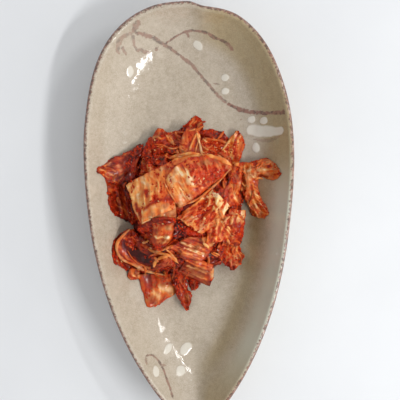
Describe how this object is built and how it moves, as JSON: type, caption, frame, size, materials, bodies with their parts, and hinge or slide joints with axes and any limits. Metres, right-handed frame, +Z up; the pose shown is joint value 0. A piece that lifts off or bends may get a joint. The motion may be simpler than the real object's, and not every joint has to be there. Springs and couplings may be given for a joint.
{
  "type": "kimchi on a leaf-shaped dish",
  "caption": "Heap of cut napa cabbage kimchi in chilli paste, served on a long leaf-shaped stoneware dish with a pointed end and a plum-branch pattern.",
  "frame": {"origin": "centre of the bounding box in plan, on the plane that the foot stands on", "axes": "+Z up, +Y along the dish towards its broad end, +X to the right when the pointed end is nearest"},
  "size_m": [0.1428, 0.2908, 0.0449],
  "materials": {
    "stoneware_glaze": "glossy beige-grey glaze with a fine speckle and a thin brown iron rim",
    "white_slip": "raised off-white slip under the glaze",
    "cabbage_leaf": "wet cabbage leaf in red chilli paste",
    "cabbage_rib": "wet cream to orange cabbage rib, stained by chilli paste",
    "chilli_flake": "wet dark red chilli flake",
    "juice": "thin orange brine"
  },
  "bodies": {
    "root": {"dish": "stoneware_glaze", "kimchi_heap": "cabbage_leaf"}
  },
  "joints": []
}
